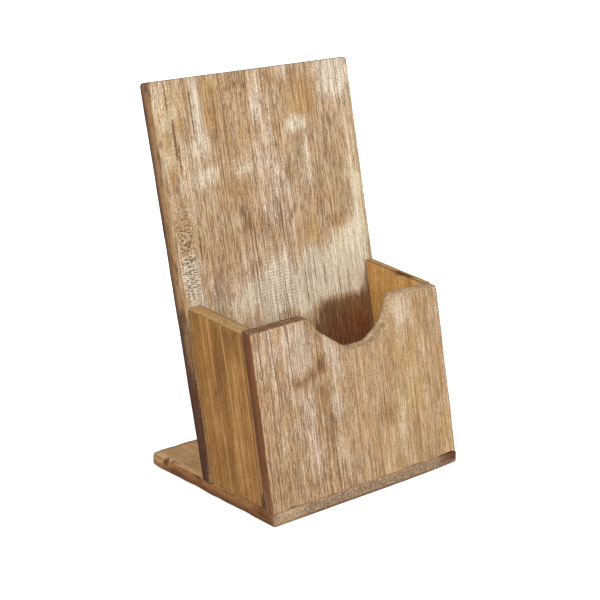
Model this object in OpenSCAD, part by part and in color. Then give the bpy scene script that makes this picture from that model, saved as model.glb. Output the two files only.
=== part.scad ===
// Free-standing wooden brochure holder, in millimetres.
// Origin: middle of the base board's underside. +X to the viewer's right, +Y to the back, +Z up.

/* [Base board] */
// Width of the base board, side to side
base_w = 121; // [100:1:180]
// Depth of the base board, front to back
base_d = 100; // [92:0.5:150]
// Thickness of the base board
base_t = 6.6; // [4:0.1:12]
// Radius of the base board's rear corners, seen from above
base_corner_r = 3.5; // [1.5:0.5:12]

/* [Back board] */
// How far the back board's foot reaches past the base, at each side
back_overhang = 1; // [-2:0.1:4]
// How much wider the back board is at its top than at its foot
back_flare = 2.4; // [0:0.1:8]
// How far the back board's foot stands to the right of the middle
back_foot_shift = 0.9; // [-2:0.1:2]
// How far the back board's top stands to the right of the middle
back_top_shift = -1.6; // [-4:0.1:4]
// Length of the back board, up its slope
back_l = 197; // [120:1:300]
// Thickness of the back board
back_t = 7; // [5:0.1:12]
// Angle by which the back board leans back
back_lean = 11.9; // [6:0.1:16]
// Radius of the back board's top corners
back_corner_r = 2; // [0.5:0.1:10]

/* [Front board] */
// How far the front board stops short of the base, at each side
front_short = 0; // [0:0.1:2]
// Height of the front board, up its slope
front_h = 87.3; // [60:0.1:110]
// Thickness of the front board
front_t = 5.6; // [4:0.1:10]
// Angle by which the front board leans back
front_lean = 11.4; // [6:0.1:16]
// Radius of the front board's top corners
front_corner_r = 1; // [0.5:0.1:6]

/* [Pocket] */
// Depth of the pocket at the base, from front board to back board
pocket_d = 41.9; // [30:0.1:48]
// Thickness of the left cheek
left_cheek_t = 8.2; // [5:0.1:12]
// Thickness of the right cheek
right_cheek_t = 5; // [4:0.1:12]
// How far the left cheek's outer face stands inside the base's side
left_cheek_inset = 1; // [0:0.1:3]
// How far the right cheek's outer face stands outside the base's side
right_cheek_outset = 1; // [0:0.1:2]
// How far the left cheek's front end stands above the front board's top
left_cheek_lift = -2; // [-6:0.1:4]
// How far the right cheek's front end stands above the front board's top
right_cheek_lift = 0; // [-6:0.1:4]
// How much higher the left cheek's top is at the back than at the front
left_cheek_rise = 2.2; // [0:0.1:8]
// How much higher the right cheek's top is at the back than at the front
right_cheek_rise = 3; // [0:0.1:8]

/* [Finger notch] */
// Width of the notch along the front board's top edge
notch_w = 55; // [48:0.5:70]
// Depth of the notch below the front board's top edge
notch_depth = 19.7; // [15:0.1:22]
// How far the middle of the notch lies to the right of the middle
notch_shift = 2.4; // [-8:0.1:8]
// Slope of the notch's left side, from the top edge down to its knee
left_flank_angle = 52.5; // [46:0.5:70]
// Depth of the left knee, where that side grows flatter
left_knee_depth = 7.2; // [4:0.1:10]
// Slope of the notch's left side, from its knee down to the floor
left_slope_angle = 35; // [31:0.5:44]
// Slope of the notch's right side, from the top edge down to its knee
right_flank_angle = 64; // [48:0.5:75]
// Depth of the right knee, where that side grows flatter
right_knee_depth = 11.9; // [7:0.1:14]
// Slope of the notch's right side, from its knee down to the floor
right_slope_angle = 33; // [28:0.5:42]
// Radius where each side runs into the notch's floor
notch_toe_r = 8; // [2:0.5:10]
// Radius of the knees
notch_knee_r = 5; // [2:0.5:8]
// Radius of the two shoulders where the notch meets the top edge
notch_shoulder_r = 2; // [1:0.5:5]

/* [Edges] */
// Radius to which the boards' outer arrises are worn
arris_r = 1; // [0.3:0.1:1.8]

/* [Pins] */
// Diameter of a pin's shank
pin_d = 1.4; // [1:0.1:2]
// Length of a pin from the top of its head to its point
pin_l = 22; // [18:0.5:26]
// Diameter of a pin's head
pin_head_d = 2.6; // [2.2:0.1:3.4]
// Thickness of a pin's head
pin_head_t = 0.8; // [0.5:0.1:1.2]
// Length of a pin's tapered point
pin_point = 2; // [1:0.1:3]
// Depth to which each pin's head is punched below the wood
pin_set = 0.6; // [0.5:0.1:1.2]

/* [Hidden] */
$fn = 64;

// A length greater than any board, for blocks and cuts that run past it
reach = base_w + base_d + back_l;
// How far a leaning board is made too long before its foot is cut to the base
foot_spare = back_t + front_t;
// How far the centre of a rounded edge is set back, so that its arc meets each face at a slight angle
ease_out = 1.25;
// Width that is left of a pin at the very end of its point
pin_tip_d = pin_d / 5;

// Front line of the base, and where each leaning board's front face meets the base's top
front_y = -base_d / 2;
pocket_front_y = front_y + front_t / cos(front_lean);
back_y = pocket_front_y + pocket_d;

// Widths of the two leaning boards
back_foot_w = base_w + 2 * back_overhang;
back_top_w = back_foot_w + back_flare;
front_w = base_w - 2 * front_short;

// Middle planes of the cheeks
left_cheek_x = -base_w / 2 + left_cheek_inset + left_cheek_t / 2;
right_cheek_x = base_w / 2 + right_cheek_outset - right_cheek_t / 2;

// Height of the front board's top, which is cut level
front_top_z = base_t + front_h * cos(front_lean);

// Heights of the cheeks' tops at the front board and at the back board
left_front_z = front_top_z + left_cheek_lift;
left_back_z = left_front_z + left_cheek_rise;
right_front_z = front_top_z + right_cheek_lift;
right_back_z = right_front_z + right_cheek_rise;

// The notch's outline seen from the front, across and up: each side's shoulder, knee and toe
left_shoulder = [notch_shift - notch_w / 2, front_top_z];
left_knee = left_shoulder + left_knee_depth * [1 / tan(left_flank_angle), -1];
left_toe = left_knee + (notch_depth - left_knee_depth) * [1 / tan(left_slope_angle), -1];
right_shoulder = [notch_shift + notch_w / 2, front_top_z];
right_knee = right_shoulder - right_knee_depth * [1 / tan(right_flank_angle), 1];
right_toe = right_knee - (notch_depth - right_knee_depth) * [1 / tan(right_slope_angle), 1];

// Places of the pins: parts of a cheek's foot and back edge, and of the boards' widths
cheek_foot_parts = [0.25, 0.7];
cheek_edge_parts = [0.3, 0.75];
board_foot_parts = [-0.3, 0, 0.3];
// How far into a board's thickness its pins enter, from the cheeks' inner faces and the boards' front faces
cheek_in = 0.22;
board_foot_in = 0.64;
pin_lines = [
    left_cheek_x + (0.5 - cheek_in) * left_cheek_t,
    right_cheek_x - (0.5 - cheek_in) * right_cheek_t,
];

// A point at which a face leaning back from the line y on the base's top has height z
function lean_y(y, lean, z) = y + (z - base_t) * tan(lean);

function unit(v) = v / norm(v);

// Flat shape that is taken off corner p, between the directions of a and b, to round it
module corner_waste(p, a, b, r) {
    u = unit(a - p);
    v = unit(b - p);
    half = acos(u * v) / 2;
    touch = p + u * r / tan(half);
    c = p + unit(u + v) * ease_out * r / sin(half);
    foot_a = p + u * ((c - p) * u);
    foot_b = p + v * ((c - p) * v);
    difference() {
        polygon([c, 2 * foot_a - c, 2 * p - c, 2 * foot_b - c]);
        translate(c) circle(r = norm(c - touch));
    }
}

// Section of what is taken off an edge to round its arrises: X into the board, Y through it. Face 0 is
// the board's underside and face 1 its upper side
module arris_section(thick, r, faces) {
    for (face = faces) {
        corner_waste([0, face * thick], [1, face * thick], [0, (1 - face) * thick], r);
    }
}

// What is taken off along the edge from a to b, the board lying on its left
module arris_waste(a, b, thick, r, faces) {
    turn = atan2(b[1] - a[1], b[0] - a[0]);
    translate(a)
        rotate([0, 0, turn])
        translate([-thick, 0, 0])
        rotate([90, 0, 90])
        linear_extrude(height = norm(b - a) + 2 * thick)
        arris_section(thick, r, faces);
}

// Board with a four-cornered outline, listed anticlockwise, the arrises of the numbered edges rounded
module plank(outline, thick, rounded, faces = [0, 1]) {
    difference() {
        linear_extrude(height = thick) polygon(outline);
        for (i = rounded) {
            arris_waste(outline[i], outline[(i + 1) % 4], thick, arris_r, faces);
        }
    }
}

// Takes a round off the corners numbered in which
module round_off(outline, which, r, thick) {
    for (i = which) {
        translate([0, 0, -thick / 2])
            linear_extrude(height = 2 * thick)
            corner_waste(outline[i], outline[(i + 3) % 4], outline[(i + 1) % 4], r);
    }
}

// Stands a board on the base's top: X across, Y up the slope, Z out of the front face
module leaning_at(y, lean) {
    translate([0, y, base_t])
        rotate([90 - lean, 0, 0])
        children();
}

// Everything above the base's top
module above_base() {
    translate([-reach, -reach, base_t]) cube(2 * reach);
}

// One pin, its head's top at the origin and its point along +Z
module pin() {
    cylinder(d = pin_head_d, h = pin_head_t);
    cylinder(d = pin_d, h = pin_l - pin_point);
    translate([0, 0, pin_l - pin_point]) cylinder(d1 = pin_d, d2 = pin_tip_d, h = pin_point);
}

// The hole that a punched pin leaves in the wood
module pin_hole() {
    pin();
    translate([0, 0, -4 * pin_set]) cylinder(d = pin_head_d, h = 4 * pin_set + pin_head_t / 2);
}

// Pins up through the base into the cheeks
module at_cheek_feet() {
    for (x = pin_lines) {
        for (part = cheek_foot_parts) {
            translate([x, pocket_front_y + part * pocket_d, pin_set]) children();
        }
    }
}

// Pins up through the base into a leaning board, at half of its lean
module at_board_foot(y, lean, thick, width) {
    tilt = lean / 2;
    for (part = board_foot_parts) {
        translate([part * width, y + board_foot_in * thick / cos(lean), base_t])
            rotate([-tilt, 0, 0])
            translate([0, 0, pin_set - base_t / cos(tilt)])
            children();
    }
}

module at_front_foot() {
    at_board_foot(front_y, front_lean, front_t, front_w) children();
}

module at_back_foot() {
    at_board_foot(back_y, back_lean, back_t, back_foot_w) children();
}

// Pins through the back board into the cheeks' back edges
module at_cheek_edges() {
    edge_l = (min(left_back_z, right_back_z) - base_t) / cos(back_lean);
    for (x = pin_lines) {
        for (part = cheek_edge_parts) {
            leaning_at(back_y, back_lean)
                translate([x, part * edge_l, pin_set - back_t])
                children();
        }
    }
}

// Flat shape of the finger notch seen from the front, open at the top
module notch_shape() {
    above = [0, front_top_z];
    side = [base_w, 0];
    difference() {
        polygon([
            left_shoulder, left_knee, left_toe,
            right_toe, right_knee, right_shoulder,
            right_shoulder + above, left_shoulder + above,
        ]);
        corner_waste(left_knee, left_shoulder, left_toe, notch_knee_r);
        corner_waste(left_toe, left_knee, right_toe, notch_toe_r);
        corner_waste(right_toe, left_toe, right_knee, notch_toe_r);
        corner_waste(right_knee, right_toe, right_shoulder, notch_knee_r);
    }
    corner_waste(left_shoulder, left_shoulder - side, left_knee, notch_shoulder_r);
    corner_waste(right_shoulder, right_shoulder + side, right_knee, notch_shoulder_r);
}

// What the front board keeps, seen from the front: foot on the base, level top, notch
module front_view() {
    difference() {
        translate([-reach, base_t]) square([2 * reach, front_top_z - base_t]);
        for (side = [-1, 1]) {
            corner = [side * front_w / 2, front_top_z];
            corner_waste(corner, corner - [side, 0], corner - [0, 1], front_corner_r);
        }
        notch_shape();
    }
}

// What is taken off to round the two arrises of the front board's top, which meets the faces at its lean
module front_top_waste() {
    front = [lean_y(front_y, front_lean, front_top_z), front_top_z];
    rear = [lean_y(pocket_front_y, front_lean, front_top_z), front_top_z];
    translate([-reach, 0, 0])
        rotate([90, 0, 90])
        linear_extrude(height = 2 * reach) {
            corner_waste(front, rear, [front_y, base_t], arris_r);
            corner_waste(rear, front, [pocket_front_y, base_t], arris_r);
        }
}

// A cheek: foot on the base, front and back edges along the two leaning boards
module cheek(x, thick, front_z, back_z) {
    outline = [
        [pocket_front_y, base_t],
        [back_y, base_t],
        [lean_y(back_y, back_lean, back_z), back_z],
        [lean_y(pocket_front_y, front_lean, front_z), front_z],
    ];
    difference() {
        translate([x - thick / 2, 0, 0])
            rotate([90, 0, 90])
            plank(outline, thick, [2]);
        at_cheek_feet() pin_hole();
        at_cheek_edges() pin_hole();
    }
}

module base_board() {
    outline = [
        [-base_w / 2, front_y],
        [base_w / 2, front_y],
        [base_w / 2, front_y + base_d],
        [-base_w / 2, front_y + base_d],
    ];
    color("tan")
    difference() {
        plank(outline, base_t, [0, 1, 2, 3]);
        round_off(outline, [2, 3], base_corner_r, base_t);
        at_cheek_feet() pin_hole();
        at_front_foot() pin_hole();
        at_back_foot() pin_hole();
    }
}

module back_board() {
    outline = [
        [back_foot_shift - back_foot_w / 2, -foot_spare],
        [back_foot_shift + back_foot_w / 2, -foot_spare],
        [back_top_shift + back_top_w / 2, back_l],
        [back_top_shift - back_top_w / 2, back_l],
    ];
    color("burlywood")
    difference() {
        intersection() {
            leaning_at(back_y, back_lean)
                translate([0, 0, -back_t])
                difference() {
                    plank(outline, back_t, [1, 2, 3]);
                    round_off(outline, [2, 3], back_corner_r, back_t);
                }
            above_base();
        }
        at_back_foot() pin_hole();
        at_cheek_edges() pin_hole();
    }
}

module front_board() {
    outline = [
        [-front_w / 2, -foot_spare],
        [front_w / 2, -foot_spare],
        [front_w / 2, front_h + foot_spare],
        [-front_w / 2, front_h + foot_spare],
    ];
    color("wheat")
    difference() {
        intersection() {
            leaning_at(front_y, front_lean)
                translate([0, 0, -front_t])
                plank(outline, front_t, [1, 3], [1]);
            translate([0, reach, 0])
                rotate([90, 0, 0])
                linear_extrude(height = 2 * reach)
                front_view();
        }
        front_top_waste();
        at_front_foot() pin_hole();
    }
}

module left_cheek() {
    color("peru") cheek(left_cheek_x, left_cheek_t, left_front_z, left_back_z);
}

module right_cheek() {
    color("peru") cheek(right_cheek_x, right_cheek_t, right_front_z, right_back_z);
}

module cheek_foot_pins() {
    color("silver") at_cheek_feet() pin();
}

module front_foot_pins() {
    color("silver") at_front_foot() pin();
}

module back_foot_pins() {
    color("silver") at_back_foot() pin();
}

module back_edge_pins() {
    color("silver") at_cheek_edges() pin();
}

base_board();
back_board();
front_board();
left_cheek();
right_cheek();
cheek_foot_pins();
front_foot_pins();
back_foot_pins();
back_edge_pins();
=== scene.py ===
"""Looks of the wooden brochure holder: five worn boards, their pins, a pale floor, lights and the camera."""
import math

import bmesh
import bpy
import numpy as np
from mathutils import Matrix, Vector
from mathutils.kdtree import KDTree


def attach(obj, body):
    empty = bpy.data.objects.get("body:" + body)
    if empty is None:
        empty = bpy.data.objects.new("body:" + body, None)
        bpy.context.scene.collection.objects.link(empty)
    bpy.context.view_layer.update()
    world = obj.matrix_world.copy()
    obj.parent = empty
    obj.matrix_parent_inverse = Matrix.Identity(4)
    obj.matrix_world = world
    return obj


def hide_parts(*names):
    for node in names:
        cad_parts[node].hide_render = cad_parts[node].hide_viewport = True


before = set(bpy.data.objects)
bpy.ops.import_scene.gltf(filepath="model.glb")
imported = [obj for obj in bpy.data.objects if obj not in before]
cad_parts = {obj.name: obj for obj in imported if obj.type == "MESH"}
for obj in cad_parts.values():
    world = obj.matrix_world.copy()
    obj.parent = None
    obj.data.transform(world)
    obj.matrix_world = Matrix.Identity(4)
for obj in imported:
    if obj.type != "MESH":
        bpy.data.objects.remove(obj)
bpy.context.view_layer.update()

# Sizes of the boards in millimetres, as in the part's source
MM = 0.001
BASE_W, BASE_D, BASE_T = 121.0, 100.0, 6.6
BASE_CORNER_R = 3.5
BACK_L, BACK_T, BACK_LEAN = 197.0, 7.0, math.radians(11.9)
BACK_FOOT = (-60.8, 62.3)
BACK_TOP = (-64.3, 61.1)
BACK_CORNER_R = 2.0
FRONT_W, FRONT_H, FRONT_T, FRONT_LEAN = 121.0, 87.3, 5.6, math.radians(11.4)
FRONT_CORNER_R = 1.0
POCKET_D = 41.9
LEFT_CHEEK_X, LEFT_CHEEK_T = -59.5, 8.2
RIGHT_CHEEK_X, RIGHT_CHEEK_T = 61.5, 5.0
LEFT_CHEEK_LIFT, RIGHT_CHEEK_LIFT = -2.0, 0.0
LEFT_CHEEK_RISE, RIGHT_CHEEK_RISE = 2.2, 3.0

# Recesses over the punched pins: their size, and the places of the pins as in the part's source
RECESS_R, RECESS_DEPTH = 1.38, 0.9
PIN_LINES = (-53.1, 57.6)
CHEEK_FOOT_PARTS = (0.25, 0.7)
CHEEK_EDGE_PLACES = (26.3, 65.7)
BOARD_FOOT_PARTS = (-0.3, 0, 0.3)
BOARD_FOOT_IN = 0.64

# The notch seen from the front: its ends, its depth, and each side's knee depth and slopes
NOTCH_LEFT, NOTCH_RIGHT, NOTCH_DEPTH = -25.1, 29.9, 19.7
LEFT_KNEE, LEFT_FLANK, LEFT_SLOPE = 7.2, math.radians(52.5), math.radians(35)
RIGHT_KNEE, RIGHT_FLANK, RIGHT_SLOPE = 11.9, math.radians(64), math.radians(33)

FRONT_Y = -BASE_D / 2
POCKET_Y = FRONT_Y + FRONT_T / math.cos(FRONT_LEAN)
BACK_Y = POCKET_Y + POCKET_D


def ripple(t, pitch, seed):
    """A smooth uneven wave between about -1 and 1."""
    t = np.asarray(t) / pitch
    slow = 0.5 * np.sin(t + seed)
    middle = 0.3 * np.sin(2.3 * t + 1.7 * seed)
    quick = 0.2 * np.sin(4.1 * t + 2.9 * seed)
    return slow + middle + quick


def lines(length, edge, step):
    """Places of grid lines along a length, as parts of it, closer together at both ends."""
    near = edge * np.array([0.0, 0.12, 0.35, 0.65])
    inner = np.linspace(edge, length - edge, max(2, round((length - 2 * edge) / step)) + 1)
    return np.concatenate([near, inner, length - near[::-1]]) / length


def from_line(u, v, start, end):
    """Distance of points from the line through two corners, positive on its left."""
    along = np.array(end, float) - np.array(start, float)
    along /= np.linalg.norm(along)
    return along[0] * (v - start[1]) - along[1] * (u - start[0])


def soft_spots(u, v, spots, weight=4):
    """Sum of soft oblong spots. Each holds its middle, half width, half length and weights."""
    total = np.zeros_like(u)
    for spot in spots:
        across = (u - spot[0]) / spot[2]
        along = (v - spot[1]) / spot[3]
        total += spot[weight] * np.exp(-across ** 4 - along ** 4)
    return total


def nearest(points, targets):
    """For each target, the number of the point that lies nearest to it."""
    tree = KDTree(len(points))
    for number, point in enumerate(points):
        tree.insert(point, number)
    tree.balance()
    return [tree.find(target)[1] for target in targets]


def set_vectors(mesh, name, x, y, z):
    """Stores three numbers for each vertex, for a material to read."""
    layer = mesh.attributes.new(name, "FLOAT_VECTOR", "POINT")
    layer.data.foreach_set("vector", np.stack([x, y, z], 1).astype(np.float32).ravel())


class Plank:
    """A worn board. X runs across the grain, Y along it, Z out of its front face, which is at Z = 0."""

    def __init__(self, name, corners, thick, arris, rear_arris, step=2.5, across=None, seed=1.0):
        self.name = name
        self.corners = [np.array(c, float) for c in corners]
        self.thick = thick
        self.arris = arris
        self.rear_arris = rear_arris
        self.seed = seed
        low_left, low_right, top_right, top_left = self.corners
        width = np.linalg.norm(low_right - low_left)
        length = np.linalg.norm(top_left - low_left)
        edge = max(arris + rear_arris)
        if across is None:
            across = lines(width, edge, step)
        along = lines(length, edge, step)
        part_u, self.part_v = np.meshgrid(across, along)
        foot = [low_left[k] + part_u * (low_right[k] - low_left[k]) for k in (0, 1)]
        head = [top_left[k] + part_u * (top_right[k] - top_left[k]) for k in (0, 1)]
        self.u, self.v = [f + self.part_v * (h - f) for f, h in zip(foot, head)]
        self.gaps = [
            from_line(self.u, self.v, self.corners[k], self.corners[(k + 1) % 4]) for k in range(4)
        ]

    def cut_top(self, height):
        """Lowers the board's upper end to the given height at each place across it."""
        length = self.corners[3][1]
        self.v = self.v * height(self.u) / length
        reach = np.linspace(self.u.min(), self.u.max(), 900)
        edge = np.stack([reach, height(reach)], 1)
        # Only the rows near the cut are measured against it
        close = self.v > edge[:, 1].min() - 12
        points = np.stack([self.u[close], self.v[close]], 1)
        self.gaps[2][close] = np.sqrt(((points[:, None] - edge[None]) ** 2).sum(2)).min(1)
        self.gaps[2][-1] = 0

    def round_corner(self, side_a, side_b, radius):
        """Rounds the corner between two sides, seen from the front."""
        a = np.clip(1 - self.gaps[side_a] / radius, 0, 1)
        b = np.clip(1 - self.gaps[side_b] / radius, 0, 1)
        pull = 1 - np.maximum(a, b) / np.maximum(np.hypot(a, b), 1e-9)
        for amount, side in ((a, side_a), (b, side_b)):
            way = self.corners[(side + 1) % 4] - self.corners[side]
            way /= np.linalg.norm(way)
            self.u -= radius * pull * amount * way[1]
            self.v += radius * pull * amount * way[0]

    def drop(self, arris, seed):
        """How far a face falls away towards its unevenly worn arrises."""
        near = []
        radii = []
        for k, (gap, radius) in enumerate(zip(self.gaps, arris)):
            radii.append(radius * (1 + 0.35 * ripple(self.u + self.v, 7, seed + k)))
            near.append(np.clip(1 - gap / radii[-1], 0, 1) ** 2)
        total = sum(near)
        radius = sum(n * r for n, r in zip(near, radii)) / np.maximum(total, 1e-9)
        return radius * (1 - np.sqrt(1 - np.minimum(total, 1)))

    def on_arris(self, arris):
        """1 on the outline and half way in over its arrises, 0 on the face."""
        near = np.max([1 - gap / radius for gap, radius in zip(self.gaps, arris)], axis=0)
        return np.clip((near - 0.25) / 0.5, 0, 1)

    def build(
        self, place, slant=0.0, level_top=False, warp=0.25, rings=3,
        foot_chip=None, rear_wear=None, dents=(), recesses=(), **marks,
    ):
        """Makes the board as an object. Slant is how far its ends rise for each millimetre of depth.

        The foot chip is how high the face's lower edge is chipped at each place across the board, and
        rear_wear how deep the rear face is worn at each place.
        """
        bend = warp * ripple(self.u, 45, self.seed) * ripple(self.v, 60, self.seed + 1)
        front_v = self.v
        if foot_chip:
            front_v = front_v + foot_chip(self.u) * (1 - self.part_v) ** 4
        front = np.stack([self.u, front_v, bend - self.drop(self.arris, self.seed)], 2)
        rear_z = np.maximum(bend, 0) * 0.5 - self.thick + self.drop(self.rear_arris, self.seed + 9)
        if rear_wear:
            rear_z = rear_z + rear_wear(self.u, self.v)
        slanted = 1.0 if level_top else 1 - self.part_v
        rear = np.stack([self.u, self.v - rear_z * slant * slanted, rear_z], 2)
        rows, columns = self.u.shape
        rim = [(0, j) for j in range(columns)]
        rim += [(i, columns - 1) for i in range(1, rows)]
        rim += [(rows - 1, j) for j in range(columns - 2, -1, -1)]
        rim += [(i, 0) for i in range(rows - 2, 0, -1)]
        rim_i, rim_j = np.array(rim).T
        side = [
            front[rim_i, rim_j] + k / (rings + 1) * (rear[rim_i, rim_j] - front[rim_i, rim_j])
            for k in range(1, rings + 1)
        ]
        points = np.concatenate([front.reshape(-1, 3), rear.reshape(-1, 3)] + side)

        index = np.arange(rows * columns).reshape(rows, columns)
        quads = [index[:-1, :-1], index[:-1, 1:], index[1:, 1:], index[1:, :-1]]
        quads = np.stack(quads, 2).reshape(-1, 4)
        bands = [index[rim_i, rim_j]]
        bands += [2 * rows * columns + k * len(rim) + np.arange(len(rim)) for k in range(rings)]
        bands.append(index[rim_i, rim_j] + rows * columns)
        faces = [quads, quads[:, ::-1] + rows * columns]
        for upper, lower in zip(bands[:-1], bands[1:]):
            faces.append(np.stack([upper, lower, np.roll(lower, -1), np.roll(upper, -1)], 1))
        mesh = bpy.data.meshes.new(self.name)
        mesh.from_pydata(points.tolist(), [], np.concatenate(faces).tolist())
        mesh.update()
        at_end = np.minimum(self.gaps[0], self.gaps[2]) < np.minimum(self.gaps[1], self.gaps[3])
        on_rim = [self.on_arris(self.arris), self.on_arris(self.rear_arris), np.ones(rings * len(rim))]
        on_end = [at_end, at_end] + [at_end[rim_i, rim_j]] * rings
        on_rim, on_end = (
            np.concatenate([np.ravel(part) for part in parts]) for parts in (on_rim, on_end)
        )
        press(mesh, dents)
        for vertex in mesh.vertices:
            vertex.co *= MM
        whole = [vertex.co.copy() for vertex in mesh.vertices]
        piece = bpy.data.objects.new(self.name + "_worn", mesh)
        bpy.context.scene.collection.objects.link(piece)
        mesh.shade_smooth()
        same = np.arange(len(points))
        if recesses:
            cut_recesses(piece, self.thick, recesses)
            same = nearest(whole, [vertex.co for vertex in piece.data.vertices])
        self.paint(piece.data, points[same], on_rim[same], on_end[same], **marks)
        piece.matrix_world = place
        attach(piece, "root")
        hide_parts(self.name)
        return piece

    def paint(
        self, mesh, points, on_rim, on_end,
        patches=(), rear_patches=None, stains=(), rear_stains=(), chatter=(), crackle=(), pale_rim=(),
    ):
        """Stores for each place how pale, warm, stained and marked it is, and if it lies on an edge."""
        u, v, z = points.T
        facing = z > -self.thick / 2
        if rear_patches is None:
            middle = self.corners[3][1] + self.corners[0][1]
            rear_patches = [(-p[0], middle - p[1]) + p[2:] for p in patches]
        tone, warm = (
            np.where(facing, soft_spots(u, v, patches, k), soft_spots(u, v, rear_patches, k))
            for k in (4, 5)
        )
        stained = np.where(facing, soft_spots(u, v, stains), soft_spots(u, v, rear_stains))
        marked = [soft_spots(u, v, spots) * facing for spots in (chatter, crackle)]
        # The tone holds worn and pale patches, and on the back board also painted shade in its pocket
        set_vectors(mesh, "wear_and_shade", tone, warm, stained)
        set_vectors(mesh, "rim", on_rim, on_rim * on_end, soft_spots(u, v, pale_rim))
        set_vectors(mesh, "marks", marked[0], marked[1], -z / self.thick)


def press(mesh, dents):
    """Pushes the surface in at each dent, given by its place, radius and depth."""
    for u, v, z, radius, depth in dents:
        for vertex in mesh.vertices:
            gap = math.dist(vertex.co, (u, v, z)) / radius
            if gap < 1:
                vertex.co -= vertex.normal * depth * (1 - gap * gap) ** 2
        mesh.update()


def cut_recesses(piece, thick, places):
    """Cuts the round recesses that punched pins leave in a rear face. A place holds u, v and tilt."""
    round_cuts = bmesh.new()
    for u, v, tilt in places:
        place = Matrix.Translation((u * MM, v * MM, -thick * MM)) @ Matrix.Rotation(-tilt, 4, "X")
        bmesh.ops.create_cone(
            round_cuts, cap_ends=True, segments=24, matrix=place,
            radius1=RECESS_R * MM, radius2=RECESS_R * MM, depth=2 * RECESS_DEPTH * MM,
        )
    mesh = bpy.data.meshes.new("recesses")
    round_cuts.to_mesh(mesh)
    round_cuts.free()
    cutter = bpy.data.objects.new("recesses", mesh)
    bpy.context.scene.collection.objects.link(cutter)
    cut = piece.modifiers.new("recesses", "BOOLEAN")
    cut.object = cutter
    bpy.context.view_layer.objects.active = piece
    bpy.ops.object.modifier_apply(modifier=cut.name)
    bpy.data.objects.remove(cutter)
    piece.data.set_sharp_from_angle(angle=math.radians(40))


def standing(x_axis, y_axis, z_axis, origin):
    """Placement of a board with the given axes and origin, the origin in millimetres."""
    turn = Matrix((x_axis, y_axis, z_axis)).transposed().to_4x4()
    return Matrix.Translation([c * MM for c in origin]) @ turn


def leaning(y, lean):
    """Placement of a board that leans back from the line y on the base's top."""
    s, c = math.sin(lean), math.cos(lean)
    return standing((1, 0, 0), (0, s, c), (0, -c, s), (0, y, BASE_T))


def notch_depth(x):
    """Depth of the notch below the front board's top at each place across it."""
    left_knee = NOTCH_LEFT + LEFT_KNEE / math.tan(LEFT_FLANK)
    left_toe = left_knee + (NOTCH_DEPTH - LEFT_KNEE) / math.tan(LEFT_SLOPE)
    right_knee = NOTCH_RIGHT - RIGHT_KNEE / math.tan(RIGHT_FLANK)
    right_toe = right_knee - (NOTCH_DEPTH - RIGHT_KNEE) / math.tan(RIGHT_SLOPE)
    places = [NOTCH_LEFT, left_knee, left_toe, right_toe, right_knee, NOTCH_RIGHT]
    return np.interp(x, places, [0, LEFT_KNEE, NOTCH_DEPTH, NOTCH_DEPTH, RIGHT_KNEE, 0])


def front_height(x):
    """Height of the front board's upper edge, up its slope, with rounded corners and an uneven cut."""
    x = np.asarray(x, float)
    # The notch's corners are round, tight at its shoulders and loose at its toes
    reach = np.linspace(-1, 1, 13)
    weights = np.cos(reach * math.pi / 2)
    tight, loose = (
        sum(w * notch_depth(x + width * r) for w, r in zip(weights, reach)) / weights.sum()
        for width in (1.8, 5.0)
    )
    depth = tight + np.clip(tight / 12 - 0.3, 0, 1) * (loose - tight)
    # The saw left crumbs on the right side of the notch
    inside = np.clip(depth / 3, 0, 1) * np.clip((x - 1) / 6, 0, 1)
    rough = 0.2 * ripple(x, 0.5, 2) + 0.12 * ripple(x, 0.22, 5)
    swell = np.interp(x, [-FRONT_W / 2, -28, 42, FRONT_W / 2], [-0.5, 0.1, 0.3, -0.2])
    return FRONT_H + swell - depth / math.cos(FRONT_LEAN) + inside * rough


def front_chip(x):
    """How high the lower edge of the front board's face is chipped at each place."""
    right = np.clip((x - 46) / 12, 0, 1)
    left = np.exp(-((x + 48) / 4) ** 2)
    middle = np.exp(-((x - 32) / 5) ** 2)
    corner = np.clip((x - 56) / 4.5, 0, 1)
    chips = 0.8 * right * right * (3 - 2 * right) - 0.8 * corner + 0.5 * left + 0.4 * middle
    return chips + 0.15 * (1 + ripple(x, 3, 4))


def base_wear(x, y):
    """How far the base's underside is worn at its front right corner."""
    right = np.clip((x - 20) / 40, 0, 1)
    near = np.clip((-30 - y) / 20, 0, 1)
    return right * right * near * near


def rgb(red, green, blue):
    """A colour as it is seen, each part from 0 to 255, for a shader's socket."""
    def straight(value):
        value /= 255
        return value / 12.92 if value <= 0.04045 else ((value + 0.055) / 1.055) ** 2.4
    return (straight(red), straight(green), straight(blue), 1.0)


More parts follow.
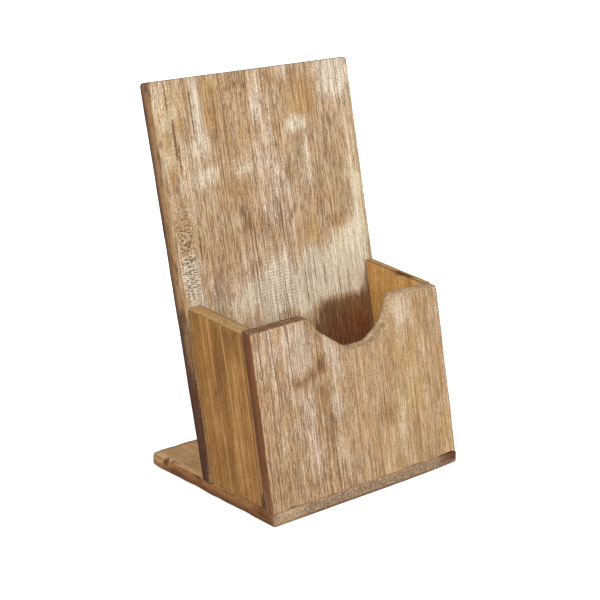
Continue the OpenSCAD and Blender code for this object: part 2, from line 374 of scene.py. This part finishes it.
class Shader:
    """A material and short names for the nodes that it is made of."""

    def __init__(self, name, seed=0.0):
        self.material = bpy.data.materials.new(name)
        self.material.use_nodes = True
        self.tree = self.material.node_tree
        self.surface = self.tree.nodes["Principled BSDF"]
        self.seed = seed

    def node(self, kind, inputs, **settings):
        made = self.tree.nodes.new("ShaderNode" + kind)
        for key, value in settings.items():
            setattr(made, key, value)
        for key, value in inputs.items():
            self.feed(made.inputs[key], value)
        return made

    def feed(self, socket, value):
        if isinstance(value, bpy.types.NodeSocket):
            self.tree.links.new(value, socket)
        else:
            socket.default_value = value

    def math(self, operation, a, b=0.0):
        return self.node("Math", {0: a, 1: b}, operation=operation).outputs[0]

    def add(self, *values):
        total = values[0]
        for value in values[1:]:
            total = self.math("ADD", total, value)
        return total

    def times(self, a, b):
        return self.math("MULTIPLY", a, b)

    def around(self, value, amount):
        """A pattern from 0 to 1 made to swing about zero by the given amount."""
        return self.times(self.math("SUBTRACT", value, 0.5), amount)

    def band(self, value, low, high):
        """0 below low, 1 above high and smooth between them."""
        inputs = {0: value, 1: low, 2: high, 3: 0.0, 4: 1.0}
        return self.node("MapRange", inputs, interpolation_type="SMOOTHSTEP").outputs[0]

    def place(self):
        """Places on the piece in its own frame, in millimetres."""
        coords = self.node("TexCoord", {}).outputs["Object"]
        return self.node("VectorMath", {0: coords, "Scale": 1 / MM}, operation="SCALE").outputs[0]

    def noise(self, place, size, detail=2.0, roughness=0.55):
        """Cloudy pattern from 0 to 1, its clouds of the given size in millimetres along each axis."""
        self.seed += 1
        inputs = {0: place, 1: [1 / s for s in size], 2: [self.seed * s for s in (7.3, 3.9, 5.1)]}
        shrunk = self.node("VectorMath", inputs, operation="MULTIPLY_ADD").outputs[0]
        inputs = {"Vector": shrunk, "Scale": 1.0, "Detail": detail, "Roughness": roughness}
        cloud = self.node("TexNoise", inputs).outputs[0]
        return self.node("MapRange", {0: cloud, 1: 0.25, 2: 0.75, 3: 0.0, 4: 1.0}).outputs[0]

    def blend(self, part, a, b, kind="MIX"):
        mixed = self.node("Mix", {0: part, 6: a, 7: b}, data_type="RGBA", blend_type=kind)
        return mixed.outputs[2]

    def stored(self, name):
        """The three numbers that a board stores at each place under this name."""
        vector = self.node("Attribute", {}, attribute_name=name).outputs["Vector"]
        return self.node("SeparateXYZ", {0: vector}).outputs

    def finish(self, colour, roughness, height, depth):
        bump = self.node("Bump", {"Strength": 1.0, "Distance": depth * MM, "Height": height})
        self.feed(self.surface.inputs["Base Color"], colour)
        self.feed(self.surface.inputs["Roughness"], roughness)
        self.feed(self.surface.inputs["Normal"], bump.outputs[0])
        return self.material


GOLDEN = (1.0, 0.96, 0.80, 1)
PINKISH = (0.98, 0.965, 1.0, 1)
CHATTER_PITCH = 1.6
BUMP_DEPTH = 0.2


def wood(
    name, seed, colours, lean=0.0, grain=1.0, pores=1.0, contrast=1.0, speckle=0.3, streaks=(), cracks=(),
):
    """Weathered wood with grain lines, pores, worn patches, patches of painted shade, marks across the grain
    and sawn edges.

    Streaks hold their place across the grain, half width and weight. Cracks hold their place across the
    grain, low end, high end and half width.
    """
    s = Shader(name, seed)
    place = s.place()
    # The stored tone also carries painted shade, where the back board's pocket patches set it very low
    tone, warm, stained = s.stored("wear_and_shade")
    on_rim, on_end, rim_pale = s.stored("rim")
    chatter, crackle, depth = s.stored("marks")

    # The grain runs at a slant on the cheeks and wanders a little to the side on every board
    along = s.node("SeparateXYZ", {0: place}).outputs[1]
    wander = s.add(s.around(s.noise(place, (50, 240, 50), 1.0), 3.0), s.times(along, lean))
    shift = s.node("CombineXYZ", {0: wander}).outputs[0]
    run = s.node("VectorMath", {0: place, 1: shift}, operation="ADD").outputs[0]
    run_x = s.node("SeparateXYZ", {0: run}).outputs[0]
    patch = s.noise(place, (7, 12, 7), 4.0, 0.65)
    streak = s.noise(run, (3.5 * grain, 200, 3.5 * grain), 2.0)
    line = s.noise(run, (1.0 * grain, 90, 1.0 * grain), 1.0)
    hair = s.noise(run, (0.5 * grain, 18, 0.5 * grain), 1.0)
    dash = s.noise(run, (0.4, 4.5, 0.4), 0.0)
    seam = s.noise(run, (0.42, 28, 0.42), 0.0)
    fleck = s.noise(run, (0.5, 11, 0.5), 0.0)
    crowd = s.noise(place, (9, 28, 9), 2.0)
    grit = s.noise(place, (0.55, 0.9, 0.55), 1.0)

    level = s.add(
        tone,
        s.around(patch, 0.8 * contrast),
        s.around(streak, 0.4 * contrast),
        s.around(line, 0.25 * contrast),
        s.around(hair, 0.3 * contrast),
        s.around(grit, 0.3 * contrast),
    )
    for middle, half, weight in streaks:
        off = s.math("ABSOLUTE", s.math("SUBTRACT", run_x, middle))
        level = s.add(level, s.times(s.band(off, half, 0.2 * half), weight))
    colour = s.blend(s.band(level, 0.1, -0.75), colours["mid"], colours["brown"])
    # The lowest levels take the deep colour, which on the back board is painted shade with reddish bounce
    # light in the pocket
    colour = s.blend(s.band(level, -1.1, -2.2), colour, colours.get("deep", colours["brown"]))
    colour = s.blend(s.band(level, -0.05, 0.75), colour, colours["pale"])
    tint = s.add(warm, s.around(s.noise(place, (13, 60, 13), 2.0), 0.7))
    colour = s.blend(s.band(tint, 0.0, 0.8), colour, GOLDEN, "MULTIPLY")
    colour = s.blend(s.band(tint, 0.0, -0.8), colour, PINKISH, "MULTIPLY")

    # A blunt saw left fine waves across the grain
    wave = s.math("SINE", s.times(s.add(along, s.around(patch, 1.5)), 2 * math.pi / CHATTER_PITCH))
    shade = s.add(
        1.0,
        s.around(line, 0.2 * contrast),
        s.around(hair, 0.42 * contrast),
        s.around(grit, 0.62 * contrast),
        s.times(s.times(wave, chatter), s.times(patch, 0.24)),
    )
    shade = s.node("CombineColor", {0: shade, 1: shade, 2: shade}).outputs[0]
    colour = s.blend(1.0, colour, shade, "MULTIPLY")
    colour = s.blend(s.times(s.band(fleck, 0.6, 0.9), 0.3), colour, colours["pale"])

    # Open pores are dark dashes along the grain, in crowds, fewer where the wood is pale or warm.
    # Cross cracks are short and run the other way.
    pore = s.times(s.band(s.add(dash, s.around(crowd, 0.22), s.around(line, -0.2)), 0.66, 0.8), 0.85)
    long_pore = s.times(s.band(s.add(seam, s.around(crowd, 0.22)), 0.74, 0.86), 0.95)
    pore = s.math("MAXIMUM", pore, long_pore)
    pore = s.times(pore, s.times(s.band(warm, 1.8, -0.6), pores))
    pore = s.times(pore, s.band(tone, 2.6, -0.6))
    cross = s.band(s.add(s.noise(place, (1.9, 0.65, 1.9), 0.0), s.around(grit, 0.4)), 0.56, 0.72)
    dark = s.math("MAXIMUM", pore, s.times(s.times(cross, crackle), 0.9))
    for middle, low, high, width in cracks:
        off = s.math("ABSOLUTE", s.math("SUBTRACT", run_x, middle))
        there = s.times(s.band(along, low - 3, low + 3), s.band(along, high + 3, high - 3))
        crack = s.times(s.band(s.add(off, s.around(grit, 0.8 * width)), width, 0.4 * width), there)
        dark = s.math("MAXIMUM", dark, s.times(crack, 0.85))
    colour = s.blend(dark, colour, colours["pore"])

    # Sawn edges and ends have colours of their own, with a ragged border and specks. A pale rim makes them
    # paler; on the front board's top end and notch this is partly painted light.
    ragged = s.band(s.add(on_rim, s.around(hair, 0.5), s.around(grit, 0.4)), 0.1, 0.9)
    ragged = s.times(ragged, s.math("SUBTRACT", 1.0, s.times(rim_pale, 0.5)))
    side = s.blend(s.band(depth, 0.1, 1.0), colours["rim"], colours["rim_deep"])
    side = s.blend(s.band(s.noise(place, (6, 14, 2), 3.0), 0.45, 0.95), side, colours["rim_deep"])
    end = s.blend(rim_pale, colours["end"], colours["end_pale"])
    edge_colour = s.blend(1.0, s.blend(on_end, side, end), shade, "MULTIPLY")
    specks = s.noise(place, (1.1, 1.1, 0.9), 2.0)
    dark_specks = s.times(s.band(specks, 0.45, 0.8), speckle)
    edge_colour = s.blend(dark_specks, edge_colour, colours["pore"])
    pale_specks = s.times(s.band(specks, 0.4, 0.1), s.times(on_end, speckle))
    edge_colour = s.blend(pale_specks, edge_colour, colours["pale"])
    edge_colour = s.blend(s.times(s.band(depth, 0.7, 1.0), 0.8), edge_colour, colours["stain"])
    colour = s.blend(ragged, colour, edge_colour)
    uneven = s.add(1.0, s.around(hair, 0.6), s.around(grit, 1.2))
    stain_part = s.band(s.times(stained, uneven), 0.1, 0.8)
    stain_colour = s.blend(1.0, colours["stain"], shade, "MULTIPLY")
    colour = s.blend(s.times(stain_part, 0.9), colour, stain_colour)

    height = s.add(s.times(hair, 0.35), s.times(line, 0.3), s.times(dark, -0.8), s.times(grit, 0.15))
    roughness = s.add(0.62, s.around(hair, 0.2), s.times(dark, 0.15))
    s.surface.inputs["Specular IOR Level"].default_value = 0.1
    return s.finish(colour, roughness, height, BUMP_DEPTH)


def steel(name):
    """Dull steel wire with a little rust."""
    s = Shader(name)
    place = s.place()
    spots = s.noise(place, (0.9, 0.9, 0.9), 3.0)
    fine = s.noise(place, (0.2, 0.2, 0.2), 2.0)
    rust = s.band(s.add(spots, s.around(fine, 0.3)), 0.55, 0.75)
    colour = s.blend(rust, rgb(150, 146, 140), rgb(112, 72, 48))
    s.feed(s.surface.inputs["Metallic"], s.math("SUBTRACT", 1.0, rust))
    return s.finish(colour, s.add(0.38, s.times(rust, 0.4)), s.add(fine, spots), 0.05)


FRONT_PLACE = leaning(FRONT_Y, FRONT_LEAN)
BACK_PLACE = leaning(BACK_Y, BACK_LEAN)
BASE_PLACE = standing((1, 0, 0), (0, 1, 0), (0, 0, 1), (0, 0, BASE_T))


def foot_recesses(y, lean, thick, width):
    """Recesses in the base's underside over the pins of a leaning board, which have half of its lean."""
    tilt = lean / 2
    at = y + BOARD_FOOT_IN * thick / math.cos(lean) - BASE_T * math.tan(tilt)
    return [(part * width, at, tilt) for part in BOARD_FOOT_PARTS]


# Patches hold their middle across and along the grain, half width, half length, tone and warmth.
# Stains, chatter, crackle and pale rims hold the same with one weight.

# Base board: grain from front to back
base = Plank(
    "base_board",
    [(-BASE_W / 2, FRONT_Y), (BASE_W / 2, FRONT_Y), (BASE_W / 2, -FRONT_Y), (-BASE_W / 2, -FRONT_Y)],
    BASE_T, (0.4, 0.4, 1.6, 2.2), (0.4, 0.5, 1.6, 1.6), seed=2.0,
)
base.round_corner(1, 2, BASE_CORNER_R)
base.round_corner(2, 3, BASE_CORNER_R)
base_piece = base.build(
    BASE_PLACE, warp=0.15, rear_wear=base_wear,
    dents=[
        (-60, 36, -1.5, 4, 0.9),
        (-60, 29, -2, 3, 0.6),
        (-60, 10, -3, 6, 0.3),
    ],
    patches=[
        (-48, 38, 12, 12, 0.2, 0.2),
        (-53, 20, 8, 8, -0.2, 0.1),
        (-60, 30, 2.2, 26, 0.5, 0.3),
    ],
    stains=[
        (-60, 37, 2.2, 1.6, 1.0),
        (-58.5, 33.5, 1.6, 1.4, 0.7),
        (-58, 29, 1.2, 2, 0.6),
        (-60, -42, 3, 10, 0.5),
        (56, FRONT_Y, 8, 3, 0.6),
        (60, FRONT_Y, 3.5, 3, 1.2),
        (0, -FRONT_Y, 80, 3, 0.6),
    ],
    rear_patches=[(0, 0, 90, 90, -0.6, 0.0)],
    recesses=[(x, POCKET_Y + part * POCKET_D, 0.0) for x in PIN_LINES for part in CHEEK_FOOT_PARTS]
    + foot_recesses(FRONT_Y, FRONT_LEAN, FRONT_T, FRONT_W)
    + foot_recesses(BACK_Y, BACK_LEAN, BACK_T, BACK_FOOT[1] - BACK_FOOT[0]),
    rear_stains=[(56, FRONT_Y, 8, 3, 0.4)],
    pale_rim=[(-62, 43, 2.5, 8, 0.8), (-50, FRONT_Y, 9, 2, 0.9)],
)
base_piece.data.materials.append(wood("base_wood", 10, dict(
    pale=rgb(222, 186, 138),
    mid=rgb(206, 164, 114),
    brown=rgb(178, 136, 90),
    pore=rgb(112, 76, 48),
    rim=rgb(161, 111, 67),
    rim_deep=rgb(82, 49, 26),
    end=rgb(153, 132, 109),
    end_pale=rgb(178, 166, 148),
    stain=rgb(92, 52, 34),
), pores=0.5, contrast=0.8, speckle=0.75))

# Back board
back = Plank(
    "back_board",
    [(BACK_FOOT[0], 0), (BACK_FOOT[1], 0), (BACK_TOP[1], BACK_L), (BACK_TOP[0], BACK_L)],
    BACK_T, (0.3, 0.35, 0.5, 1.8), (0.3, 0.6, 0.4, 0.7), seed=1.0,
)
back.round_corner(1, 2, BACK_CORNER_R)
back.round_corner(2, 3, BACK_CORNER_R)
BACK_PATCHES = [
    (-55, 180, 7, 16, 0.4, 0.5),
    (-57, 168, 2.5, 4, -0.6, 0.2),
    (-50, 174, 3, 5, -0.5, 0.3),
    (-57, 150, 3, 6, -0.7, 0.4),
    (-48, 145, 3, 18, 0.45, 0.3),
    (-45, 186, 4, 10, -0.2, 0.2),
    (-38, 181, 2.6, 17, 0.7, 0.0),
    (-28, 183, 7.5, 13, -0.55, 0.5),
    (-14, 184, 6, 13, -0.45, -0.8),
    (-6, 192, 2.5, 7, -0.4, 0.0),
    (-2, 183, 2.6, 13, 0.6, 0.0),
    (8, 191, 5, 5, -0.5, 0.2),
    (17, 193, 3, 5, 0.5, 0.0),
    (27, 182, 11, 9, -0.55, 0.6),
    (50, 188, 11.5, 10.5, 0.75, -0.7),
    (25, 174, 13, 5, -0.3, 0.4),
    (-38, 162, 6, 6, 0.25, 0.1),
    (-18, 164, 13, 9, -0.5, 0.2),
    (10, 162, 3, 10, -0.5, 0.1),
    (21, 168, 7, 5, 0.7, 0.0),
    (40, 160, 10, 10, -0.2, 0.0),
    (-1, 147, 3, 9, 0.4, -0.2),
    (-5, 158, 2.5, 6, 0.4, -0.2),
    (6, 148, 4, 12, 0.15, -0.8),
    (26, 150, 2, 11, 0.6, 0.0),
    (-35, 148, 7, 4.5, 0.5, 0.1),
    (-14, 148.5, 6, 3, 0.6, -0.3),
    (-22, 139, 10, 8, -0.65, 0.3),
    (40, 140, 9, 15, -0.25, 0.2),
    (5, 130, 8, 11, 0.25, -0.6),
    (-14, 124, 7, 8, -0.55, -0.3),
    (57, 124, 4.5, 16, 0.45, 0.3),
    (56, 140, 5, 22, 0.25, 0.2),
    (28, 122, 14, 9, -0.25, 0.0),
    (41, 115, 7, 3.6, -0.8, 0.2),
    (-36, 110, 13, 12, -0.4, 0.1),
    (-39, 128, 7, 9, -0.25, 0.1),
    (20, 109, 9, 7, -0.45, 0.6),
    (50, 106, 12, 9, 0.6, 0.3),
    (-54.5, 97, 5, 15, 1.0, -0.4),
    (-55, 122, 5.5, 12, 0.2, 0.8),
    (-16, 84, 10, 12, 0.6, 0.1),
    (-2, 90, 9, 14, 0.65, 0.0),
    (10, 83, 7, 10, 0.5, 0.0),
    (-36, 80, 12, 10, 0.35, 0.3),
    (-19, 76, 7, 5, -0.3, 0.4),
    (39, 86, 22, 11, 0.7, -0.1),
    (37, 91, 25, 16, 0.5, 0.0),
    (22, 99, 6, 6, 0.5, -0.5),
    (-8, 75, 6, 5, 0.4, 0.0),
    # Painted shade with reddish bounce light on the back board, low in the pocket behind the front board
    (4, 38, 58, 25, -2.1, 0.4),
    (13, 72, 7, 8, 0.5, 0.3),
    (-56, 158, 6, 8, 0.4, 0.6),
    # Painted shade where the front board's right part shades the back board in the pocket
    (41, 64, 19, 10, -1.4, 0.3),
    (-60.2, 40, 1.2, 55, -1.0, 1.6),
]
back_piece = back.build(
    BACK_PLACE, slant=math.tan(BACK_LEAN), warp=0.3, patches=BACK_PATCHES,
    stains=[
        (-62, 0, 1.5, 48, 1.0),
        (-62, 55, 1.5, 38, 0.4),
        (-60.2, 44, 1.2, 43, 0.1),
    ],
    rear_stains=[
        (-62, 0, 3, 48, 1.0),
        (-62, 55, 3, 38, 0.5),
    ],
    rear_patches=[
        (-40, 150, 16, 36, 0.5, 0.2),
        (-5, 170, 12, 20, -0.4, 0.3),
        (35, 140, 18, 30, 0.3, -0.4),
        (10, 95, 22, 24, -0.3, 0.4),
        (-45, 70, 14, 26, -0.4, 0.1),
        (40, 50, 16, 34, 0.4, 0.3),
        (-5, 30, 20, 22, 0.5, -0.2),
    ],
    recesses=[(x, v, 0.0) for x in PIN_LINES for v in CHEEK_EDGE_PLACES],
    chatter=[
        (-3, 89, 14, 14, 1.0),
        (52, 188, 9, 9, 0.4),
        (4, 132, 7, 12, 0.7),
        (24, 94, 10, 8, 0.4),
    ],
    crackle=[(-55, 112, 6, 26, 1.0), (-54, 168, 4, 9, 0.5)],
)
back_piece.data.materials.append(wood("back_wood", 20, dict(
    pale=rgb(226, 211, 186),
    mid=rgb(198, 167, 131),
    brown=rgb(184, 145, 104),
    # The deep colour is painted shade with reddish bounce light, for the pocket
    deep=rgb(176, 118, 83),
    pore=rgb(104, 70, 46),
    rim=rgb(168, 132, 93),
    rim_deep=rgb(84, 55, 38),
    end=rgb(90, 67, 51),
    end_pale=rgb(170, 140, 105),
    stain=rgb(64, 35, 24),
), cracks=[
    (-53.5, 158, 178, 1.0),
    (-52, 150, 166, 0.6),
    (-41, 168, 192, 0.6),
    (-55.5, 180, 196, 0.5),
    (-47, 108, 124, 0.5),
    (-12.6, 100, 122, 0.5),
    (-2.5, 115, 129, 0.45),
    (5.5, 115, 129, 0.45),
    (2.5, 78, 92, 0.35),
    (16, 75, 94, 0.4),
    (22.5, 86, 101, 0.35),
    (28, 83, 94, 0.4),
    (36.7, 72, 90, 0.4),
    (43, 71, 88, 0.4),
], pores=0.9))

# Front board
across = np.unique(np.concatenate([
    lines(FRONT_W, 1.2, 2.0) * FRONT_W - FRONT_W / 2,
    np.arange(NOTCH_LEFT - 3, NOTCH_RIGHT + 3, 0.5),
]))
front = Plank(
    "front_board",
    [(-FRONT_W / 2, 0), (FRONT_W / 2, 0), (FRONT_W / 2, FRONT_H), (-FRONT_W / 2, FRONT_H)],
    FRONT_T, (0.3, 0.9, 1.2, 1.3), (0.2, 0.2, 0.4, 0.2), 2.0, (across + FRONT_W / 2) / FRONT_W, seed=4.0,
)
front.cut_top(front_height)
front.round_corner(1, 2, 0.5 * FRONT_CORNER_R)
front.round_corner(2, 3, FRONT_CORNER_R)
FRONT_PATCHES = [
    (27, 42, 36, 70, 0.0, 0.45),
    (-36, 42, 28, 70, 0.0, -0.35),
    (-51, 79, 9, 9, 0.35, 0.0),
    (-33, 74, 8, 14, 0.65, -0.3),
    (-20, 80, 3.5, 6, -0.3, 0.0),
    (35, 80, 7, 8, 0.6, -0.2),
    (-21, 64, 3.4, 5, -0.8, 0.2),
    (-27, 60, 4, 2.6, -0.7, 0.3),
    (-35, 57.4, 5, 2.2, -0.7, 0.3),
    (-16, 74, 3, 7, 0.7, 0.0),
    (-12, 61, 4, 10, 0.45, -0.1),
    (-33, 46, 7, 9, 0.4, -0.2),
    (-21, 46, 3, 9, -0.5, 0.2),
    (-14, 42, 4, 9, 0.35, -0.1),
    (37, 47, 2.5, 9, 0.2, 0.0),
    (56, 46, 2.5, 12, -0.35, 0.5),
    (-53, 30, 8, 14, -0.1, 0.3),
    (-34, 28, 6, 10, 0.3, -0.3),
    (-19, 29, 1.8, 13, -0.5, 0.2),
    (-14.5, 20, 3, 10, 0.35, 0.0),
    (17, 31, 5, 7, -0.5, 0.0),
    (26, 24, 2, 15, 0.3, 0.0),
    (-52, 9, 8, 9, -0.35, 0.5),
    (-31, 9, 9, 10, 0.05, -0.3),
]
front_piece = front.build(
    FRONT_PLACE, slant=math.tan(FRONT_LEAN), level_top=True, warp=0.2,
    foot_chip=front_chip, patches=FRONT_PATCHES,
    stains=[
        (-21, 63.8, 2.6, 3.2, 0.5),
        (-26.5, 60, 3.5, 1.8, 0.3),
        (-34, 57.4, 4.5, 1.6, 0.3),
        (56, 0, 8, 1.0, 0.8),
        (8, 67.3, 4, 1.0, 0.3),
        (14, 68.8, 2.8, 1.4, 0.4),
        (18, 71.4, 2.2, 1.6, 0.4),
        (21.5, 73.8, 2, 1.6, 0.4),
        (24.5, 76.5, 1.4, 2, 0.3),
    ],
    crackle=[(-35, 74, 8, 9, 0.25)],
    # The first pale rim, over the right part's top end and the notch's right wall, is partly worn pale wood
    # and partly painted light on these up-facing edges
    pale_rim=[(28, 80, 36, 40, 1.0), (-61, 2, 4, 12, 0.25)],
)
front_piece.data.materials.append(wood("front_wood", 40, dict(
    pale=rgb(212, 192, 166),
    mid=rgb(189, 155, 117),
    brown=rgb(164, 126, 87),
    pore=rgb(106, 72, 48),
    rim=rgb(127, 79, 46),
    rim_deep=rgb(94, 54, 32),
    end=rgb(136, 100, 70),
    # Pale end colour: partly painted light on the top end and the notch's right wall
    end_pale=rgb(226, 196, 156),
    stain=rgb(88, 56, 38),
), cracks=[
    (-57, 66, 86, 0.35),
    (-50, 62, 86, 0.35),
    (-40, 58, 86, 0.35),
    (-18, 4, 18, 0.6),
], pores=0.85, speckle=0.6))


def cheek_corners(toward, rise, lift):
    """A cheek's corners between the two leaning boards, anticlockwise from its lower left one."""
    front_v = FRONT_H * math.cos(FRONT_LEAN) + lift
    back_v = front_v + rise
    corners = [
        (0, 0),
        (toward * POCKET_D, 0),
        (toward * (POCKET_D + back_v * math.tan(BACK_LEAN)), back_v),
        (toward * front_v * math.tan(FRONT_LEAN), front_v),
    ]
    return corners if toward > 0 else [corners[k] for k in (1, 0, 3, 2)]


LEFT_PLACE = standing((0, -1, 0), (0, 0, 1), (-1, 0, 0), (LEFT_CHEEK_X, POCKET_Y, BASE_T))
RIGHT_PLACE = standing((0, 1, 0), (0, 0, 1), (1, 0, 0), (RIGHT_CHEEK_X, POCKET_Y, BASE_T))

left = Plank(
    "left_cheek", cheek_corners(-1, LEFT_CHEEK_RISE, LEFT_CHEEK_LIFT),
    LEFT_CHEEK_T, (0.3, 0.2, 2.2, 0.8), (0.3, 0.2, 1.2, 0.2), seed=6.0,
)
left_piece = left.build(
    LEFT_PLACE, warp=0.15,
    dents=[
        (0, 1, 0, 4, 0.9),
        (-23, 84, 0, 3.5, 0.8),
        (-29, 85, -1, 3.5, 0.9),
        (-36, 85.5, 0, 3, 0.6),
    ],
    patches=[
        (-37, 62, 4, 18, -0.5, 0.1),
        (-46, 60, 7, 30, 0.1, 0.4),
        (-31, 66, 3.5, 16, -0.4, 0.0),
        (-22, 40, 3, 40, 0.4, -0.3),
        (-26, 76, 13, 8, -0.35, 0.0),
        (-30, 12, 8, 10, -0.3, 0.0),
    ],
    rear_patches=[],
    stains=[
        (-2, 2, 2, 7, 1.1),
        (-38, 48.5, 2.5, 4, 0.35),
        (-24, 80, 0.7, 4, 0.4),
        (-30, 0, 40, 0.8, 0.5),
    ],
    crackle=[(-20, 3, 8, 3, 0.4)],
    pale_rim=[(-26, 86, 7, 5, 0.55), (-41, 86, 4, 5, 0.45)],
)
honey = dict(grain=1.5, pores=0.45, contrast=0.9)
left_piece.data.materials.append(wood("left_cheek_wood", 60, dict(
    pale=rgb(180, 137, 86),
    mid=rgb(150, 107, 58),
    brown=rgb(126, 86, 44),
    pore=rgb(104, 66, 36),
    rim=rgb(96, 64, 38),
    rim_deep=rgb(80, 52, 32),
    end=rgb(188, 149, 99),
    end_pale=rgb(214, 182, 136),
    stain=rgb(70, 42, 28),
), lean=math.tan(FRONT_LEAN), speckle=0.4, streaks=[
    (-41, 0.9, 0.6),
    (-33, 1.0, 0.3),
    (-27.5, 0.7, 0.7),
    (-23, 4, -0.3),
    (-17.5, 0.7, 1.4),
    (-14, 3, 0.25),
    (-9, 0.6, 0.4),
    (-4.5, 0.5, 0.8),
    (-3.2, 0.7, -0.8),
], **honey))

right = Plank(
    "right_cheek", cheek_corners(1, RIGHT_CHEEK_RISE, RIGHT_CHEEK_LIFT),
    RIGHT_CHEEK_T, (0.3, 0.2, 0.6, 0.2), (0.3, 0.2, 0.6, 0.2), seed=8.0,
)
right_piece = right.build(
    RIGHT_PLACE, warp=0.15,
    dents=[(33, 86.5, -RIGHT_CHEEK_T, 3.5, 0.6)],
    rear_stains=[(32, 86.9, 7, 0.9, 0.9), (27.5, 80, 0.8, 5, 0.4)],
)
right_piece.data.materials.append(wood("right_cheek_wood", 80, dict(
    pale=rgb(232, 186, 118),
    mid=rgb(216, 165, 97),
    brown=rgb(190, 136, 74),
    pore=rgb(110, 72, 40),
    rim=rgb(170, 126, 78),
    rim_deep=rgb(150, 108, 64),
    end=rgb(190, 150, 98),
    end_pale=rgb(196, 165, 122),
    stain=rgb(80, 48, 30),
), lean=-math.tan(FRONT_LEAN), streaks=[
    (18, 4, 0.5),
    (9.5, 0.5, -0.9),
    (4, 3, 0.4),
], **honey))

pin_steel = steel("pin_steel")
for name in ("cheek_foot_pins", "front_foot_pins", "back_foot_pins", "back_edge_pins"):
    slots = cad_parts[name].data.materials
    slots.clear()
    slots.append(pin_steel)

# Floor: it is seen white away from the object, and keeps its shadow
FLOOR_SIZE = 60.0
SHADOW_NEAR, SHADOW_FAR = 120.0, 420.0
bpy.ops.mesh.primitive_plane_add(size=FLOOR_SIZE, location=(0, 0, 0))
floor = bpy.context.object
floor.name = "floor"
ground = Shader("floor_white")
spot = ground.node("SeparateXYZ", {0: ground.place()}).outputs
away = ground.math("SQRT", ground.add(ground.times(spot[0], spot[0]), ground.times(spot[1], spot[1])))
seen = ground.node("LightPath", {}).outputs
seen_part = ground.add(seen["Is Camera Ray"], seen["Is Glossy Ray"], seen["Is Transmission Ray"])
ground.feed(ground.surface.inputs["Base Color"], (0.9, 0.9, 0.9, 1))
ground.feed(ground.surface.inputs["Roughness"], 0.9)
ground.feed(ground.surface.inputs["Specular IOR Level"], 0.0)
ground.feed(ground.surface.inputs["Emission Color"], (1, 1, 1, 1))
glow = ground.add(0.6, ground.times(ground.band(away, SHADOW_NEAR, SHADOW_FAR), 0.38))
ground.feed(ground.surface.inputs["Emission Strength"], ground.times(seen_part, glow))
floor.data.materials.append(ground.material)

# Sky: soft grey light that is seen as white
SKY_LIGHT = 0.48
world = bpy.data.worlds.new("studio")
bpy.context.scene.world = world
world.use_nodes = True
sky = world.node_tree.nodes["Background"]
sky.inputs["Color"].default_value = (1, 1, 1, 1)
sky_seen = world.node_tree.nodes.new("ShaderNodeLightPath").outputs["Is Camera Ray"]
sky_level = world.node_tree.nodes.new("ShaderNodeMapRange")
sky_level.inputs["To Min"].default_value = SKY_LIGHT
world.node_tree.links.new(sky_seen, sky_level.inputs["Value"])
world.node_tree.links.new(sky_level.outputs[0], sky.inputs["Strength"])


def area_light(name, watts, size, place, target):
    """A soft square light that faces the target."""
    light = bpy.data.lights.new(name, "AREA")
    light.energy = watts
    light.size = size
    lamp = bpy.data.objects.new(name, light)
    bpy.context.scene.collection.objects.link(lamp)
    lamp.location = place
    way = Vector(target) - lamp.location
    lamp.rotation_euler = way.to_track_quat("-Z", "Y").to_euler()


area_light("key", 10.0, 0.16, (0.25, -1.4, 0.53), (0, 0.02, 0.09))
area_light("fill", 14.0, 0.9, (-1.5, -0.1, 0.85), (0, 0, 0.06))

# Camera at the photo's viewing angle, fitted to the edges of the boards
CAMERA_PLACE = (-0.49534, -0.58660, 0.32796)
LOOKS_DOWN, LOOKS_RIGHT = math.radians(17.342), math.radians(40.053)
lens = bpy.data.cameras.new("camera")
lens.lens = 96.78
lens.sensor_width = 36.0
lens.clip_start = 0.01
camera = bpy.data.objects.new("camera", lens)
bpy.context.scene.collection.objects.link(camera)
camera.location = CAMERA_PLACE
camera.rotation_euler = (math.pi / 2 - LOOKS_DOWN, 0, -LOOKS_RIGHT)
bpy.context.scene.camera = camera
bpy.context.scene.view_settings.view_transform = "Standard"
